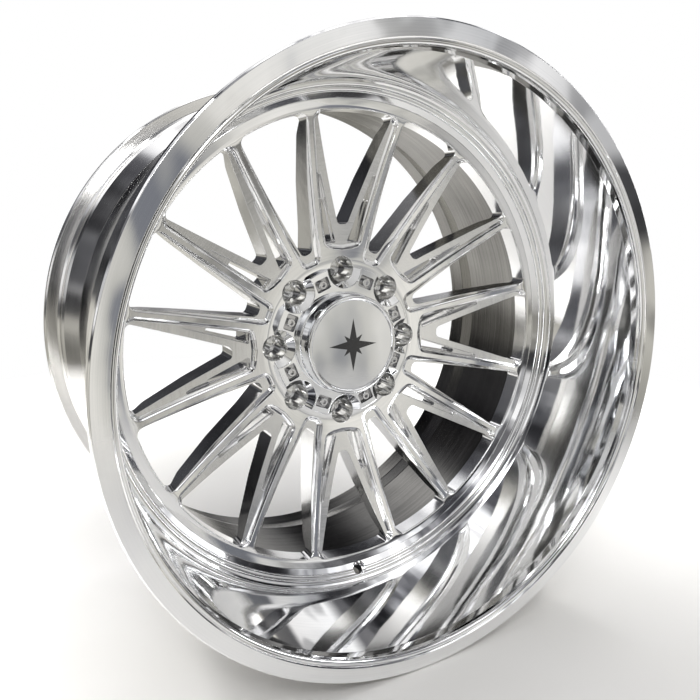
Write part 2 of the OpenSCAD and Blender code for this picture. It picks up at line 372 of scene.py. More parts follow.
class Curve:
    """A smoothed broken line: its height and its slope."""

    def __init__(self, points, soften, grid):
        x = np.arange(points[0][0], points[-1][0] + grid, grid)
        y = np.interp(x, [p[0] for p in points], [p[1] for p in points])
        self.set(x, y, soften, grid)

    def set(self, x, y, soften, grid):
        k = max(1, round(soften / grid))
        for _ in range(2):
            padded = np.concatenate([y[0] - (y[1] - y[0]) * np.arange(k, 0, -1), y,
                                     y[-1] + (y[-1] - y[-2]) * np.arange(1, k + 1)])
            y = np.convolve(padded, np.ones(2 * k + 1) / (2 * k + 1), "valid")
        self.x, self.y, self.s = x, y, np.gradient(y, x)

    def z(self, v):
        return np.interp(v, self.x, self.y)

    def slope(self, v):
        return np.interp(v, self.x, self.s)


radii = np.arange(40.0, 300.0, 0.1)
raw = np.where(radii < HUB_FACE, HUB,
               np.where(radii > WINDOW, RING,
                        DISH_Z - np.sqrt(DISH_R ** 2 - np.minimum(radii, WINDOW) ** 2)))
FACE = object.__new__(Curve)
FACE.set(radii, raw, 2.5, 0.1)
BACK = Curve([(100, 7), (119.5, 21.5), (145.5, 32.5), (199.5, 47.5),
              (250.4, 69.4), (264.4, 82.9), (300, 82.9)], 1.5, 0.1)
EDGE = Curve([(-9, 0), (0, 0), (0.42, 0.72), (1.95, 1.55), (2.45, 2.5), (2.85, 2.62),
              (4.35, 4.15), (4.85, 4.7), (12, 4.7)], 0.07, 0.01)
EDGE_ROWS = [-0.2, -0.08, 0.08, 0.34, 0.5, 1.2, 1.86, 2.04, 2.36, 2.54, 2.78, 2.94,
             3.6, 4.28, 4.44, 4.76, 4.94, 5.1]


def face_z(xy):
    return FACE.z(np.hypot(xy[:, 0], xy[:, 1]))


def face_slope(xy):
    r = np.hypot(xy[:, 0], xy[:, 1])
    return (FACE.slope(r) / np.maximum(r, 1e-9))[:, None] * xy


def back_slope(xy):
    r = np.hypot(xy[:, 0], xy[:, 1])
    return (BACK.slope(r) / np.maximum(r, 1e-9))[:, None] * xy


def lift(xy, z):
    return np.column_stack([xy, np.broadcast_to(z, len(xy))])


def up(slope):
    return unit(np.column_stack([-slope, np.ones(len(slope))]))


def level(n):
    return np.column_stack([n, np.zeros(len(n))])


# ---- center: recesses, windows and slots ----

EDGE_A = Outline([(112.5, 0), (113.8, -13), polar(119.7, -12.2)] + arc(270.2, 12.2)
                 + [polar(119.7, 12.2), (113.8, 13)], 11)
EDGE_B = Outline([(100.5, 12.6), (100.5, -12.6)] + arc(270.4, 9.36), 11)
HOLE_A = Outline([(143.5, 6.3), (143.5, -6.3)] + arc(269.2, 10.4), 6)
HOLE_B = Outline([(116.7, 6.8), (116.7, -6.8)] + arc(269.2, 8.9), 6.5)
POCKET = Outline([(121.5, 7.6), (202, 35.2), (201, 38.4), (121.5, 21.8)], 1.6)
SLOT = Outline([(121.5, 7.6), (175, 25.95), (174, 32.9), (121.5, 21.8)], 3)
POCKET_DEPTH = 11.7
POLISHED, BEVEL, PLATE, WALL, MILLED, BACKSIDE = range(6)

center = Shell()


def edge_wall(outline, insets, drops, mat, depth, floor_z=None):
    """Rounded top edge of a hole through the plate, then its wall down."""
    rows, normals = [], []
    base = -outline.n
    sunk = depth(outline.at(insets[0]))
    for s, d in zip(insets, drops):
        xy = outline.at(s)
        rows.append(lift(xy, face_z(xy) - sunk - d))
        share = min(1, max(0, d / 0.35)) ** 0.5
        plate = up(face_slope(xy))
        normals.append(unit(plate * (1 - share) + level(base) * share))
    for i in range(len(rows) - 1):
        center.band(rows[i], rows[i + 1], normals[i], normals[i + 1], mat)
    foot = outline.at(insets[-1])
    low = BACK.z(np.hypot(foot[:, 0], foot[:, 1])) + 0.6 if floor_z is None else floor_z
    center.band(rows[-1], lift(foot, low), level(base), level(base), mat)
    return foot, low


def through(outline, insets, drops, mat, depth):
    """A hole right through, with a small chamfer at the back."""
    foot, low = edge_wall(outline, insets, drops, mat, depth)
    out = outline.at(insets[-1] - 0.6)
    slant = unit(np.column_stack([-outline.n, -np.ones(len(foot))]))
    z = BACK.z(np.hypot(out[:, 0], out[:, 1]))
    center.band(lift(foot, low), lift(out, z), slant, slant, mat)


def recess(edge, hole, pockets, slots):
    """A sunken plate with its stepped edge, window and slots."""
    start = edge.at(0)
    rim = np.hypot(start[:, 0], start[:, 1])
    width = 1 + 0.3 * np.clip((150 - rim) / 25, 0, 1)
    holes = [hole.at(-0.35)] + [p.at(-0.35) for p in pockets]
    limit = np.min([reach(start, -edge.n, h) for h in holes], axis=0) - 0.25
    limit = np.minimum(limit, edge.r - 0.2)
    rows, normals = [], []
    for s in EDGE_ROWS:
        inset = np.minimum(s * width, limit)
        xy = edge.at(inset)
        rows.append(lift(xy, face_z(xy) - EDGE.z(inset / width)))
        slope = face_slope(xy) + (EDGE.slope(inset / width) / width)[:, None] * edge.n
        normals.append(up(slope))
    for i in range(len(rows) - 1):
        mat = BEVEL if EDGE_ROWS[i] < 4.8 else PLATE
        center.band(rows[i], rows[i + 1], normals[i], normals[i + 1], mat)
    last = rows[-1][:, :2]
    rings = [(r, 360) for r in np.arange(104, 269, 5.0)]
    extra = scatter(rings, last, holes, 1.6)
    xy, tri = fill(last, holes, extra)

    def depth(at):
        near = ((at[:, None] - start[None]) ** 2).sum(2).argmin(1)
        return EDGE.z(distance(at, start) / width[near])

    z = face_z(xy) - depth(xy)
    twin = ((xy[:, None] - last[None]) ** 2).sum(2)
    z = np.where(twin.min(1) < 1e-10, rows[-1][twin.argmin(1), 2], z)
    nrm = up(face_slope(xy))
    p = lift(xy, z)
    center.add(p[tri], nrm[tri], PLATE)
    through(hole, [-0.35, -0.1, 0], [0, 0.1, 0.35], WALL, depth)
    for pocket, slot in zip(pockets, slots):
        foot, low = edge_wall(pocket, [-0.35, -0.1, 0], [0, 0.1, 0.35], WALL, depth,
                              face_z(pocket.at(0)) - POCKET_DEPTH + 0.4)
        toe = pocket.at(0.4)
        down = face_z(toe) - POCKET_DEPTH
        flat_n = up(face_slope(toe))
        center.band(lift(foot, low), lift(toe, down), level(-pocket.n), flat_n, WALL)
        top = slot.at(1.05)
        xy, tri = fill(toe, [top])
        p = lift(xy, face_z(xy) - POCKET_DEPTH)
        center.add(p[tri], up(face_slope(xy))[tri], PLATE)
        side = level(-slot.n)
        inner = slot.at(1.3)
        center.band(lift(top, face_z(top) - POCKET_DEPTH),
                    lift(inner, face_z(inner) - POCKET_DEPTH - 0.3),
                    up(face_slope(top)), side, WALL)
        z = BACK.z(np.hypot(inner[:, 0], inner[:, 1]))
        center.band(lift(inner, face_z(inner) - POCKET_DEPTH - 0.3), lift(inner, z), side, side,
                    WALL)
    return rows[0][:, :2]


first = recess(EDGE_A, HOLE_A, [POCKET, POCKET.mirrored()], [SLOT, SLOT.mirrored()])
second_from = len(center.parts)
other = recess(EDGE_B, HOLE_B, [], [])
quarter = math.radians(22.5)
m = np.array([[math.cos(quarter), -math.sin(quarter), 0],
              [math.sin(quarter), math.cos(quarter), 0], [0, 0, 1]])
center.parts[second_from:] = [(p @ m.T, q @ m.T, c)
                              for p, q, c in center.parts[second_from:]]


# ---- center: lug counterbores and screw holes ----

def bored(centre, start_row, runs, mat, n=96):
    """A turned hole round an upright line, joined to a row on the face."""
    t = 2 * np.pi * np.arange(n) / n
    c, s = np.cos(t), np.sin(t)

    def row(r, z):
        return np.stack([centre[0] + r * c, centre[1] + r * s, np.full(n, z)], 1)

    def aim(v):
        return np.stack([v[0] * c, v[0] * s, np.full(n, v[1])], 1)

    if start_row is not None:
        center.band(start_row, row(*runs[0][0]), aim((-1, 0)), aim(runs[0][2]), mat)
    for p, q, n0, n1 in runs:
        center.band(row(*p), row(*q), aim(n0), aim(n1), mat)


LUG_WALL = profile([(15.5, 60.0), (15.5, 24.0, 0.8), (13.5, 24.0), (8.0, 14.47),
                    (8.0, 0.6), (8.6, 0.0)], 1)
lug_at = (LUG_CIRCLE, 0.0)
rim_row = circle(LUG_R, 96, lug_at)
mid_row, wall_row = circle(15.65, 96, lug_at), circle(15.5, 96, lug_at)
t = 2 * np.pi * np.arange(96) / 96
facing = -np.stack([np.cos(t), np.sin(t)], 1)
top_n = up(face_slope(rim_row))
edge_n = unit(top_n + level(facing))
center.band(lift(rim_row, face_z(rim_row)), lift(mid_row, face_z(mid_row) - 0.15),
            top_n, edge_n, POLISHED)
center.band(lift(mid_row, face_z(mid_row) - 0.15), lift(wall_row, face_z(wall_row) - 0.5),
            edge_n, level(facing), POLISHED)
bored(lug_at, lift(wall_row, face_z(wall_row) - 0.5), LUG_WALL, MILLED)
screw_at = polar(SCREW_CIRCLE, 22.5)
bored(screw_at, None,
      profile([(SCREW_R, HUB), (SCREW_R, HUB - 18), (0.02, HUB - 18)], 1), MILLED, 32)
center.spin(8)


# ---- center: face, back, pad and bores ----

def around(points, step):
    return [turned(points, 45 * k + step) for k in range(8)]


holes = around(first, 0) + around(other, 22.5)
holes += around(circle(LUG_R, 96, lug_at), 0)
holes += around(circle(SCREW_R, 32, screw_at), 0)
bore_row = circle(59, 256)
rings = [(r, 256) for r in (62, 66, 70, 74, 96, 99, 101, 103, 106, 109, 112)]
rings += [(r, SEG) for r in (271.5, 274, 277)]
outer_row = circle(280.6, SEG)
extra = scatter(rings, outer_row, holes + [bore_row], 1.2)
xy, tri = fill(outer_row, holes + [bore_row], extra)
p = lift(xy, face_z(xy))
center.add(p[tri], up(face_slope(xy))[tri], POLISHED)

turn(center, profile([(59, HUB), (58, HUB - 1), (58, 38), (62.05, 38), (62.05, 1),
                      (63, 0)]), MILLED, 256)
turn(center, profile([(285.9, RING_BACK), (285.9, RING - 1.6), (281, RING - 1.6),
                      (281, RING - 0.4, 0.3), (280.6, RING)]), POLISHED)
turn(center, profile([(108, 0), (109.5, 1.5), (109.5, 13.2, 2), (111, BACK.z(111))], 1),
     BACKSIDE, 256)

pad, nuts = circle(108, 256), around(circle(8.6, 96, lug_at), 0)
xy, tri = fill(pad, nuts + [circle(63, 256)])
center.add(lift(xy, 0.0)[tri], np.tile([0, 0, -1.0], (len(tri), 3, 1)), BACKSIDE)

outs = around(HOLE_A.at(-0.6), 0) + around(HOLE_B.at(-0.6), 22.5)
outs += around(SLOT.at(1.3), 0) + around(SLOT.mirrored().at(1.3), 0)
back_row, pad_row = circle(285.9, SEG), circle(111, 256)
rings = [(r, 256) for r in (114, 117, 119, 120, 122, 126, 131, 136, 141, 144, 147, 153,
                            160, 168, 176, 184, 192, 197, 202, 210, 218, 226, 234, 242)]
rings += [(r, SEG) for r in (248, 250, 252.5, 256, 260, 263, 265.5, 268, 272, 278)]
extra = scatter(rings, back_row, outs + [pad_row], 0.8)
xy, tri = fill(back_row, outs + [pad_row], extra)
p = lift(xy, BACK.z(np.hypot(xy[:, 0], xy[:, 1])))
center.add(p[tri], -up(back_slope(xy))[tri], BACKSIDE)


# ---- barrels ----

def hump(start, way, side, first, last, height, n=14):
    """A rounded bead standing on a straight line."""
    u = np.linspace(0, 1, n)
    along = first + (last - first) * u
    rise = height * (1 - (2 * u - 1) ** 2) ** 0.7
    return start + along[:, None] * way + rise[:, None] * side


slope_from = np.array([LIP, 120.5])
slope_way = unit([SHOULDER + 0.6 - LIP, 105.3 - 120.5])
slope_side = np.array([slope_way[1], -slope_way[0]])
turn_points = np.radians(np.linspace(97, 200, 16))
bead = np.stack([306 + 4 * np.cos(turn_points), FRONT - 5.5 + 4 * np.sin(turn_points)], 1)
OUTER = [(BORE, SEAM), (BORE + 1.5, SEAM), (WELL, SEAM + 4, 1), (WELL, RING_BACK + 1, 8),
         (SEAT - 1.2, RING_BACK + 34, 8), (SEAT - 1.2, 221.8, 2), (SEAT + 0.9, 225.3, 1),
         (SEAT + 0.9, 227.8, 1), (SEAT - 1.9, 231.8, 1.5), (SEAT - 0.3, 250.8, 3),
         (SEAT + 3, FRONT_BEAD, 1), (FLANGE - 2, FRONT_BEAD, 1),
         (FLANGE, FRONT_BEAD + 2, 1.2), (FLANGE, FRONT - 1.5, 1),
         (FLANGE - 1.5, FRONT, 0.8), (308.3, FRONT, 0.5), (307.2, FRONT - 1.0, 0.3),
         (306.7, FRONT - 2.2, 0.2), bead, (301.4, 257.2, 1.2), (300.7, 250.0, 9),
         (LIP, 120.5, 1.5),
         hump(slope_from, slope_way, slope_side, 3.0, 9.6, 1.6),
         hump(slope_from, slope_way, slope_side, 10.2, 15.8, 1.3),
         (SHOULDER + 0.6, 105.3, 0.5), (SHOULDER + 0.1, RING - 0.1, 0.1),
         (SHOULDER + 0.1, RING - 1.5), (BORE, RING - 1.5), "close"]
INNER = [(BORE, SEAM), (BORE, -31.5, 9), (299, -69.8, 9), (299.4, -98.8, 2),
         (SEAT + 0.5, REAR_BEAD - 6, 2), (SEAT + 3.5, REAR + 1.2, 1), (SEAT + 5, REAR, 0.8),
         (FLANGE - 2, REAR, 1.2), (FLANGE, REAR + 2, 1.2), (FLANGE, REAR_BEAD - 2, 1.2),
         (FLANGE - 2, REAR_BEAD, 1.2), (SEAT + 3, REAR_BEAD, 1.5),
         (SEAT, REAR_BEAD + 3, 2), (SEAT - 1.9, REAR_BEAD + 22, 1.5),
         (SEAT + 0.9, REAR_BEAD + 26, 1), (SEAT + 0.9, REAR_BEAD + 28.5, 1),
         (SEAT - 1.7, REAR_BEAD + 32, 2), (WELL, REAR + 81, 9), (WELL, SEAM - 4, 1),
         (BORE + 1.5, SEAM), "close"]


def outer_zone(r, z, n):
    """0 polished lip, 1 turned outside, 2 turned bore, whose metal is darkened as painted
    shade.
    """
    if z > FRONT_BEAD + 1.5 or (z > RING - 2 and r < 303):
        return 0
    return 2 if r < BORE + 0.2 else 1


def inner_zone(r, z, n):
    return 2 if n[0] < -0.05 else 1


VALVE_AT, VALVE_TILT = np.array([0, -(SHOULDER + 7), RING + 4.6]), math.radians(42)


def valve_tool():
    """The stepped drill that cuts the valve hole and its spot face."""
    shell = Shell()
    turn(shell, profile([(0, -60), (VALVE_R, -60), (VALVE_R, -5.6), (6.0, -4.8), (6.6, -4.2),
                         (7.4, -3.75), (8.3, -3.5), (9.2, -3.4), (9.2, 40), (0, 40)], 1),
         4, 96)
    c, s = math.cos(-VALVE_TILT), math.sin(-VALVE_TILT)
    turn_x = np.array([[1, 0, 0], [0, c, -s], [0, s, c]])
    shell.parts = [(p @ turn_x.T + VALVE_AT, n @ turn_x.T, m) for p, n, m in shell.parts]
    return shell


def drilled(tool, runs, zone):
    """A turned shell less the tool, with its turned normals restored."""
    shell = Shell()
    for k, run in enumerate(runs):
        turn(shell, [run], k)
    body, cutter = shell.mesh("drilled"), tool.mesh("drill")
    for me in (body, cutter):
        for _ in range(len(runs) + 1):
            me.materials.append(None)
    cutter.polygons.foreach_set("material_index", np.full(len(cutter.polygons), len(runs)))
    a, b = bpy.data.objects.new("drilled", body), bpy.data.objects.new("drill", cutter)
    for o in (a, b):
        bpy.context.scene.collection.objects.link(o)
    cut = a.modifiers.new("cut", "BOOLEAN")
    cut.operation, cut.object, cut.solver = "DIFFERENCE", b, "EXACT"
    done = a.evaluated_get(bpy.context.evaluated_depsgraph_get()).to_mesh()
    verts = np.empty(len(done.vertices) * 3)
    done.vertices.foreach_get("co", verts)
    verts = verts.reshape(-1, 3) * 1000
    verts = np.stack([verts[:, 0], verts[:, 2], -verts[:, 1]], 1)
    result = Shell()
    for f in done.polygons:
        p = verts[list(f.vertices)]
        k = f.material_index
        if k < len(runs):
            s, e, n0, n1 = runs[k]
            r = np.hypot(p[:, 0], p[:, 1])
            d = e - s
            w = np.clip(((np.stack([r, p[:, 2]], 1) - s) @ d) / (d @ d), 0, 1)[:, None]
            m = n0 * (1 - w) + n1 * w
            n = np.stack([m[:, 0] * p[:, 0] / r, m[:, 0] * p[:, 1] / r, m[:, 1]], 1)
            mat = zone((s[0] + e[0]) / 2, (s[1] + e[1]) / 2, (n0 + n1) / 2)
        else:
            # a face of the tool: its normal is smoothed round the tool's own axis
            face = np.array([f.normal[0], f.normal[2], -f.normal[1]])
            axis = np.array([0, math.sin(VALVE_TILT), math.cos(VALVE_TILT)])
            off = p - VALVE_AT
            off = off - (off @ axis)[:, None] * axis
            radius = np.linalg.norm(off, axis=1)
            away = off / radius[:, None]
            along = face @ axis
            across = math.copysign(max(0, 1 - along ** 2) ** 0.5, face @ away.mean(0))
            n = along * axis + across * away
            # painted shade: tool faces on the hole wall take material 3, the near-black valve
            # metal
            mat = 3 if radius.mean() < VALVE_R + 0.03 else 0
        result.parts.append((p[None], n[None], np.array([mat])))
    bpy.data.objects.remove(a)
    bpy.data.objects.remove(b)
    return result


outer = drilled(valve_tool(), profile(OUTER), outer_zone)
inner = Shell()
turn(inner, profile(INNER), inner_zone)


# ---- welds ----

def dimes(count, height, shear):
    """Ripples of a weld laid bead by bead."""
    def shift(p, t):
        wave = np.abs(np.sin(count / 2 * t + shear * (p[0] + p[1])))
        h = height * (wave ** 0.7 - 0.6)
        return h, -h * 0.5
    return shift


center_weld = Shell()
turn(center_weld, profile([(279, RING_BACK), (280.6, 80.3, 2), (283.4, 77.5, 2),
                           (BORE, 75.9)]), 0, 3072, dimes(460, 0.45, 0.35))
turn(center_weld, profile([(BORE, 75.9), (BORE, RING_BACK), (279, RING_BACK)]), 0, 3072)
seam_weld = Shell()
turn(seam_weld, profile([(WELL - 0.05, SEAM - 4), (WELL + 0.8, SEAM - 2.2, 1.5),
                         (WELL + 1.1, SEAM, 3), (WELL + 0.8, SEAM + 2.2, 1.5),
                         (WELL - 0.05, SEAM + 4)]), 0, 3072, dimes(480, 0.3, 0.3))
turn(seam_weld, profile([(WELL - 0.05, SEAM + 4), (BORE + 1.5, SEAM),
                         (WELL - 0.05, SEAM - 4)]), 0, 3072)


# ---- cap ----

CAP_TOP, CAP_RIM = HUB + 8, 93.0
base = Shell()


def lobes(height, inset=0.0):
    """The lobed outline of the cap base at a height."""
    r = 15 + 0.95 * (height - HUB + 1)
    b = math.acos((CAP_RIM ** 2 + LUG_CIRCLE ** 2 - r * r) / (2 * LUG_CIRCLE * CAP_RIM))
    a = math.atan2(CAP_RIM * math.sin(b), CAP_RIM * math.cos(b) - LUG_CIRCLE)
    lobe = [(CAP_RIM * math.cos(t), CAP_RIM * math.sin(t))
            for t in np.linspace(b, math.pi / 4 - b, 26)[:-1]]
    c, s = math.cos(math.pi / 4), math.sin(math.pi / 4)
    for t in np.linspace(-a, a - 2 * math.pi, 66)[:-1]:
        x, y = LUG_CIRCLE + r * math.cos(t), r * math.sin(t)
        lobe.append((x * c - y * s, x * s + y * c))
    loop = np.vstack(around(np.array(lobe), 0))
    for _ in range(3):
        loop = (np.roll(loop, 1, 0) + 2 * loop + np.roll(loop, -1, 0)) / 4
    way = unit(np.roll(loop, -1, 0) - np.roll(loop, 1, 0))
    out = np.stack([way[:, 1], -way[:, 0]], 1)
    return loop - out * inset, out


def skin(shell, rows, mat):
    """Smooth strips over rows of points, the way out taken from their order."""
    g = np.array(rows)
    along = np.roll(g, -1, 1) - np.roll(g, 1, 1)
    n = unit(np.cross(along, np.gradient(g, axis=0)))
    for i in range(len(g) - 1):
        shell.band(g[i], g[i + 1], n[i], n[i + 1], mat)


low, _ = lobes(HUB)
skin(base, [lift(lobes(z)[0], z) for z in (HUB, HUB + 2.4, HUB + 4.8, CAP_TOP - 0.9)], 0)
skin(base, [lift(lobes(CAP_TOP - 0.9, s)[0], CAP_TOP - 0.9 + h)
            for s, h in ((0, 0), (0.08, 0.35), (0.27, 0.65), (0.55, 0.83), (0.9, 0.9))], 0)
top_row = lobes(CAP_TOP - 0.9, 0.9)[0]
SOCKET = Outline([(71.05, -9.5), (85.55, -9.5), (85.55, 9.5), (71.05, 9.5)], 2, 6)
xy, tri = fill(top_row, [circle(64.8, 256)] + around(SOCKET.at(-0.35), 22.5))
base.add(lift(xy, CAP_TOP)[tri], np.tile([0, 0, 1.0], (len(tri), 3, 1)), 0)
xy, tri = fill(low, [circle(57.9, 256)])
base.add(lift(xy, HUB)[tri], np.tile([0, 0, -1.0], (len(tri), 3, 1)), 0)
turn(base, profile([(64.8, CAP_TOP), (61.0, CAP_TOP, 3.4), (60.3, HUB + 22.5),
                    (0, HUB + 22.5)]), 0, 256)
turn(base, profile([(0, HUB + 21), (48.3, HUB + 21), (50.3, HUB + 19, 1), (50.3, HUB - 9),
                    (57.2, HUB - 9, 0.4), (57.9, HUB - 8, 0.4), (57.9, HUB)], 1), 0, 256)
mark = len(base.parts)
steps = ((-0.35, 0), (-0.1, 0.1), (0, 0.35), (0.2, 4.0), (0.35, 4.35), (0.75, 4.6))
tops = [lift(SOCKET.at(s), CAP_TOP - d) for s, d in steps]
flat = np.tile([0, 0, 1.0], (len(SOCKET.n), 1))
wall = level(-SOCKET.n)
slant = unit(flat + wall)
aims = [flat, slant, wall, wall, slant, flat]
# the socket walls and floor take material 1, darkened as painted shade
for i in range(5):
    base.band(tops[i], tops[i + 1], aims[i], aims[i + 1], 0 if i < 2 else 1)
xy, tri = fill(SOCKET.at(0.75), [])
base.add(lift(xy, CAP_TOP - 4.6)[tri], np.tile([0, 0, 1.0], (len(tri), 3, 1)), 1)
made = base.parts[mark:]
del base.parts[mark:]
for k in range(8):
    t = math.radians(22.5 + 45 * k)
    m = np.array([[math.cos(t), -math.sin(t), 0], [math.sin(t), math.cos(t), 0], [0, 0, 1]])
    base.parts += [(p @ m.T, n @ m.T, c) for p, n, c in made]

ring = Shell()
t = np.radians(np.linspace(0, 180, 25))
round_top = np.stack([57.7 + 2.9 * np.cos(t), HUB + 28.1 + 2.9 * np.sin(t)], 1)
turn(ring, profile([(54.9, HUB + 22.5), (60.3, HUB + 22.5, 0.3), (60.6, HUB + 23.2, 0.3),
                    round_top, (54.9, HUB + 26.5), "close"]), 0, 384)
disc = Shell()
turn(disc, profile([(0, HUB + 26), (54.75, HUB + 26), (54.75, HUB + 28.5, 0.2),
                    (54.4, HUB + 28.8), (0, HUB + 28.8)], 1), 0, 384)


# ---- materials ----

def nodes_of(name):
    mat = bpy.data.materials.new(name)
    mat.use_nodes = True
    tree = mat.node_tree
    shader = next(n for n in tree.nodes if n.type == "BSDF_PRINCIPLED")
    return mat, tree, shader


def noise(tree, vector, scale, detail=2.0, rough=0.5):
    n = tree.nodes.new("ShaderNodeTexNoise")
    n.inputs["Scale"].default_value = scale
    n.inputs["Detail"].default_value = detail
    n.inputs["Roughness"].default_value = rough
    tree.links.new(vector, n.inputs["Vector"])
    return n.outputs["Fac"]


def remap(tree, value, low, high, start=0.3, end=0.7):
    n = tree.nodes.new("ShaderNodeMapRange")
    for k, v in (("From Min", start), ("From Max", end), ("To Min", low), ("To Max", high)):
        n.inputs[k].default_value = v
    tree.links.new(value, n.inputs["Value"])
    return n.outputs["Result"]


def ramp(tree, value, *stops):
    n = tree.nodes.new("ShaderNodeValToRGB")
    bar = n.color_ramp
    while len(bar.elements) < len(stops):
        bar.elements.new(0.5)
    for e, (at, colour) in zip(bar.elements, stops):
        e.position, e.color = at, (*colour, 1)
    tree.links.new(value, n.inputs["Fac"])
    return n.outputs["Color"]


def op(tree, kind, a, b):
    n = tree.nodes.new("ShaderNodeMath")
    n.operation = kind
    for socket, v in zip(n.inputs, (a, b)):
        if isinstance(v, (int, float)):
            socket.default_value = v
        else:
            tree.links.new(v, socket)
    return n.outputs[0]


def bump(tree, shader, layers):
    """layers: (height 0..1, depth in metres), stacked on one another."""
    before = None
    for value, depth in layers:
        n = tree.nodes.new("ShaderNodeBump")
        n.inputs["Strength"].default_value = 1.0
        n.inputs["Distance"].default_value = depth
        tree.links.new(value, n.inputs["Height"])
        if before is not None:
            tree.links.new(before, n.inputs["Normal"])
        before = n.outputs["Normal"]
    tree.links.new(before, shader.inputs["Normal"])


def place_of(tree):
    return tree.nodes.new("ShaderNodeTexCoord").outputs["Object"]


def lathe_lines(tree, point, fine):
    """Noise that runs in rings round the axle: fast along r and y, slow round it."""
    split = tree.nodes.new("ShaderNodeSeparateXYZ")
    tree.links.new(point, split.inputs[0])
    x, y, z = split.outputs
    r = op(tree, "SQRT", op(tree, "ADD", op(tree, "MULTIPLY", x, x),
                            op(tree, "MULTIPLY", z, z)), 0)
    join = tree.nodes.new("ShaderNodeCombineXYZ")
    tree.links.new(op(tree, "ADD", op(tree, "MULTIPLY", r, fine),
                      op(tree, "MULTIPLY", y, fine * 1.13)), join.inputs[0])
    tree.links.new(op(tree, "MULTIPLY", op(tree, "DIVIDE", x, r), 1.2), join.inputs[1])
    tree.links.new(op(tree, "MULTIPLY", op(tree, "DIVIDE", z, r), 1.2), join.inputs[2])
    return noise(tree, join.outputs[0], 1.0, 3.0, 0.6)


def metal(name, dark, light, rough, waves=None, lines=None, grain=None, aniso=0.0):
    """Metal with smudges in its colour and gloss, and marks cut into it.

    rough is (low, high). Waves, lathe lines and grain are (scale, depth in metres).
    """
    mat, tree, shader = nodes_of(name)
    point = place_of(tree)
    shader.inputs["Metallic"].default_value = 1.0
    smudge = noise(tree, point, 9.0, 4.0, 0.6)
    layers, gloss = [], smudge
    if waves:
        layers.append((noise(tree, point, waves[0], 1.0, 0.4), waves[1]))
    if lines:
        ringed = lathe_lines(tree, point, lines[0])
        layers.append((ringed, lines[1]))
        gloss = op(tree, "ADD", op(tree, "MULTIPLY", smudge, 0.4),
                   op(tree, "MULTIPLY", ringed, 0.6))
    if grain:
        layers.append((noise(tree, point, grain[0], 3.0, 0.65), grain[1]))
    tree.links.new(ramp(tree, gloss, (0.35, dark), (0.65, light)),
                   shader.inputs["Base Color"])
    tree.links.new(remap(tree, gloss, *rough), shader.inputs["Roughness"])
    if aniso:
        shader.inputs["Anisotropic"].default_value = aniso
        tangent = tree.nodes.new("ShaderNodeTangent")
        tangent.direction_type, tangent.axis = "RADIAL", "Y"
        tree.links.new(tangent.outputs[0], shader.inputs["Tangent"])
    if layers:
        bump(tree, shader, layers)
    return mat


polished = metal("polished_aluminium", (0.86, 0.865, 0.87), (0.95, 0.95, 0.95),
                 (0.02, 0.06), waves=(38, 0.00006), lines=(700, 0.0000012))
lip_metal = metal("polished_lip", (0.87, 0.875, 0.88), (0.95, 0.95, 0.95),
                  (0.02, 0.06), waves=(22, 0.00012), lines=(900, 0.0000012))
plate_metal = metal("brushed_plate", (0.80, 0.80, 0.80), (0.92, 0.92, 0.915),
                    (0.12, 0.22), waves=(50, 0.00008), lines=(1400, 0.000004))
wall_metal = metal("milled_wall", (0.78, 0.78, 0.78), (0.90, 0.90, 0.90),
                   (0.08, 0.2), waves=(60, 0.00008), grain=(500, 0.000008))
milled_metal = metal("milled_seat", (0.92, 0.92, 0.91), (0.98, 0.98, 0.97),
                     (0.07, 0.13), grain=(700, 0.000002))
seat_shader = milled_metal.node_tree.nodes["Principled BSDF"]
seat_shader.inputs["Metallic"].default_value = 0.88
back_metal = metal("machined_back", (0.66, 0.66, 0.66), (0.80, 0.80, 0.79),
                   (0.2, 0.34), lines=(1500, 0.000008), aniso=0.4)
turned_out = metal("turned_outside", (0.80, 0.795, 0.785), (0.92, 0.915, 0.90),
                   (0.07, 0.16), waves=(30, 0.00004), lines=(600, 0.000012), aniso=0.55)
# painted shade: the bore's base colour is dark grey for the shade and dark reflections inside
# the barrels; the same turned metal outside is pale
bore_painted_shade = metal("bore_painted_shade", (0.13, 0.127, 0.12), (0.28, 0.274, 0.26),
                    (0.12, 0.26), lines=(520, 0.000024), aniso=0.6)
# painted shade: the valve hole wall is near black, standing in for the shade inside the hole
valve_shade_metal = metal("valve_bore_painted_shade", (0.03, 0.03, 0.032), (0.07, 0.07, 0.07), (0.3, 0.45),
                    grain=(900, 0.00002))
weld_metal = metal("weld_bead", (0.62, 0.61, 0.6), (0.82, 0.81, 0.8), (0.22, 0.4),
                   grain=(260, 0.00006))
chrome = metal("cap_chrome", (0.84, 0.85, 0.865), (0.93, 0.935, 0.94), (0.015, 0.05),
               waves=(80, 0.00003))
# painted shade: the cap's socket pockets are darkened, standing in for the shade and dark
# reflections in them
pocket_shade = metal("cap_pocket_painted_shade", (0.38, 0.38, 0.385), (0.6, 0.6, 0.6), (0.06, 0.16),
               grain=(900, 0.00001))
mirror = metal("cap_mirror", (0.80, 0.81, 0.83), (0.88, 0.885, 0.895), (0.015, 0.04),
               waves=(30, 0.00006))
steel = metal("screw_steel", (0.62, 0.62, 0.625), (0.80, 0.80, 0.80), (0.14, 0.26),
              grain=(900, 0.00001))
insert_steel = metal("insert_steel", (0.55, 0.55, 0.56), (0.70, 0.70, 0.70), (0.2, 0.34),
                     grain=(900, 0.00001))


